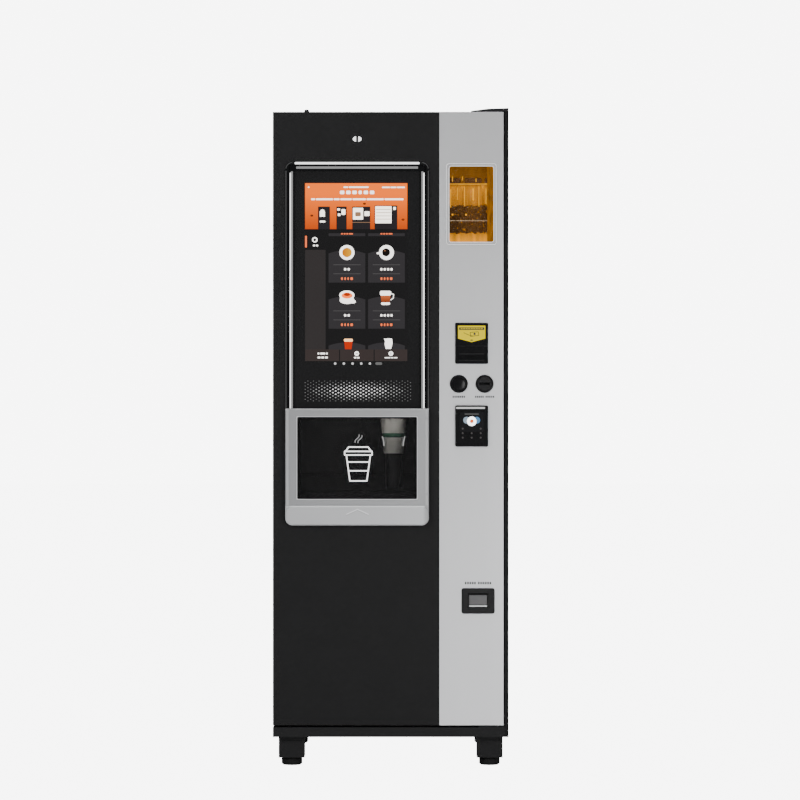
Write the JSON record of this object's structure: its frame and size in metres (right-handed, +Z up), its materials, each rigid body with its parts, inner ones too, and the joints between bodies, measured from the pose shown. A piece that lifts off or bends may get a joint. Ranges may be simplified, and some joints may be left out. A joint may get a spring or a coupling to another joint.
{
  "type": "hot coffee vending machine",
  "caption": "Free-standing bean-to-cup hot drink vending machine with touch screen, lifting cup hatch, payment column, hinged door and its brewing, dosing and cup-handling parts.",
  "frame": {"origin": "on the floor, under the middle of the machine's outer box", "axes": "+X to the customer's right, +Y to the back of the machine (the door faces -Y), +Z up"},
  "size_m": [0.655, 0.7264, 1.83],
  "materials": {
    "black_powder_coat": "satin",
    "silver_skin": "satin",
    "plinth_coat": "matte",
    "galvanised_steel": "satin",
    "stainless": "brushed",
    "chrome_bezel": "polished",
    "hatch_silver": "satin",
    "screen_glass": "gloss",
    "display": "gloss",
    "smoked_window": "gloss",
    "clear_window": "gloss",
    "amber_plastic": "gloss",
    "clear_plastic": "gloss",
    "black_plastic": "satin",
    "gloss_black": "gloss",
    "rubber": "matte",
    "white_plastic": "satin",
    "paper": "matte",
    "bottle_blue": "gloss",
    "pin_steel": "polished",
    "inlet_black": "matte"
  },
  "bodies": {
    "cabinet": {"side_panel_left": "black_powder_coat", "side_panel_right": "black_powder_coat", "roof_panel": "black_powder_coat", "rear_panel": "galvanised_steel", "floor_pan": "galvanised_steel", "base_plinth": "plinth_coat", "upper_hinge_bracket": "plinth_coat", "lower_hinge_bracket": "plinth_coat", "leg_housings": "plinth_coat", "equipment_frame": "galvanised_steel", "mains_inlet": "inlet_black", "bean_hopper": "amber_plastic", "grinder": "black_plastic", "brewer_body": "white_plastic", "boiler": "stainless", "powder_canisters": "clear_plastic", "mixing_bowl": "white_plastic", "water_bottle": "bottle_blue", "water_pump": "black_plastic", "bay_liner": "black_plastic", "dispense_nozzle": "stainless", "power_supply": "galvanised_steel", "panel_screws": "pin_steel"},
    "door": {"door_shell": "black_powder_coat", "side_skin": "silver_skin", "door_gasket": "rubber", "screen_bezel": "chrome_bezel", "screen_glass": "screen_glass", "display_panel": "display", "window_trim": "chrome_bezel", "window_glass": "clear_window", "bill_validator": "gloss_black", "coin_slot": "black_plastic", "button_bezel": "black_plastic", "card_reader": "gloss_black", "coin_return_frame": "black_plastic", "coin_changer": "black_plastic"},
    "hatch": {"hatch_frame": "hatch_silver", "hatch_window": "smoked_window"},
    "change_button": {"change_button": "gloss_black"},
    "coin_flap": {"coin_return_flap": "black_plastic"},
    "lock_handle": {"lock_handle": "pin_steel"},
    "lock_bar": {"lock_bar": "galvanised_steel"},
    "bean_lid": {"bean_hopper_lid": "black_plastic"},
    "powder_lid": {"canister_lid": "black_plastic"},
    "auger_left": {"canister_auger_1": "white_plastic"},
    "auger_right": {"canister_auger_2": "white_plastic"},
    "whipper": {"whipper": "white_plastic"},
    "brewer_piston": {"brewer_piston": "pin_steel"},
    "waste_bin": {"waste_bin": "black_plastic"},
    "drip_tray": {"drip_tray": "stainless"},
    "cup_turret": {"cup_turret": "clear_plastic"},
    "cup_carriage": {"cup_carriage": "black_plastic", "paper_cup": "paper"},
    "claw_left": {"claw_left": "stainless"},
    "claw_right": {"claw_right": "stainless"},
    "foot_front_left": {"foot_front_left": "rubber"},
    "foot_rear_left": {"foot_rear_left": "rubber"},
    "foot_front_right": {"foot_front_right": "rubber"},
    "foot_rear_right": {"foot_rear_right": "rubber"}
  },
  "joints": [
    {"name": "door_hinge", "type": "hinge", "parent": "cabinet", "child": "door", "pos_m": [0.2955, -0.33025, 0.9], "axis": [0, 0, 1], "range_deg": [0, 105]},
    {"name": "hatch_slide", "type": "slide", "parent": "door", "child": "hatch", "axis": [0, 0, 1], "range_m": [0, 0.27]},
    {"name": "change_button_press", "type": "slide", "parent": "door", "child": "change_button", "axis": [0, 1, 0], "range_m": [0, 0.0035], "stiffness_N_per_m": 800},
    {"name": "coin_flap_hinge", "type": "hinge", "parent": "door", "child": "coin_flap", "pos_m": [0.2428, -0.33425, 0.479], "axis": [1, 0, 0], "range_deg": [0, 50]},
    {"name": "lock_turn", "type": "hinge", "parent": "door", "child": "lock_handle", "pos_m": [-0.325, -0.30925, 0.95], "axis": [1, 0, 0], "range_deg": [0, 90]},
    {"name": "lock_bar_slide", "type": "slide", "parent": "door", "child": "lock_bar", "axis": [0, 0, 1], "range_m": [0, 0.012]},
    {"name": "bean_lid_hinge", "type": "hinge", "parent": "cabinet", "child": "bean_lid", "pos_m": [0.225, -0.08925, 1.7035], "axis": [-1, 0, 0], "range_deg": [0, 30]},
    {"name": "powder_lid_hinge", "type": "hinge", "parent": "cabinet", "child": "powder_lid", "pos_m": [-0.2225, -0.03425, 1.7035], "axis": [-1, 0, 0], "range_deg": [0, 30]},
    {"name": "auger_left_spin", "type": "hinge", "parent": "cabinet", "child": "auger_left", "pos_m": [-0.26625, -0.13925, 1.498], "axis": [0, 1, 0], "continuous": true},
    {"name": "auger_right_spin", "type": "hinge", "parent": "cabinet", "child": "auger_right", "pos_m": [-0.17875, -0.13925, 1.498], "axis": [0, 1, 0], "continuous": true},
    {"name": "whipper_spin", "type": "hinge", "parent": "cabinet", "child": "whipper", "pos_m": [-0.2225, -0.21925, 1.362], "axis": [0, 1, 0], "continuous": true},
    {"name": "brewer_piston_slide", "type": "slide", "parent": "cabinet", "child": "brewer_piston", "axis": [0, 0, -1], "range_m": [0, 0.04]},
    {"name": "waste_bin_lift", "type": "slide", "parent": "cabinet", "child": "waste_bin", "axis": [0, 0, 1], "range_m": [0, 0.035]},
    {"name": "drip_tray_lift", "type": "slide", "parent": "cabinet", "child": "drip_tray", "axis": [0, 0, 1], "range_m": [0, 0.012]},
    {"name": "cup_turret_spin", "type": "hinge", "parent": "cabinet", "child": "cup_turret", "pos_m": [0.008, -0.10125, 1.2], "axis": [0, 0, 1], "continuous": true},
    {"name": "cup_carriage_slide", "type": "slide", "parent": "cabinet", "child": "cup_carriage", "axis": [-1, 0, 0], "range_m": [0, 0.101]},
    {"name": "claw_left_hinge", "type": "hinge", "parent": "cup_carriage", "child": "claw_left", "pos_m": [-0.012, -0.14325, 0.9], "axis": [0, 0, -1], "range_deg": [0, 20]},
    {"name": "claw_right_hinge", "type": "hinge", "parent": "cup_carriage", "child": "claw_right", "pos_m": [0.028, -0.14325, 0.9], "axis": [0, 0, 1], "range_deg": [0, 20]},
    {"name": "foot_front_left_level", "type": "slide", "parent": "cabinet", "child": "foot_front_left", "axis": [0, 0, -1], "range_m": [0, 0.02]},
    {"name": "foot_rear_left_level", "type": "slide", "parent": "cabinet", "child": "foot_rear_left", "axis": [0, 0, -1], "range_m": [0, 0.02]},
    {"name": "foot_front_right_level", "type": "slide", "parent": "cabinet", "child": "foot_front_right", "axis": [0, 0, -1], "range_m": [0, 0.02]},
    {"name": "foot_rear_right_level", "type": "slide", "parent": "cabinet", "child": "foot_rear_right", "axis": [0, 0, -1], "range_m": [0, 0.02]}
  ],
  "couplings": [
    {"joint": "lock_turn", "follows": "lock_bar_slide", "rad_per_m": 130.8},
    {"joint": "claw_right_hinge", "follows": "claw_left_hinge", "ratio": 1}
  ]
}
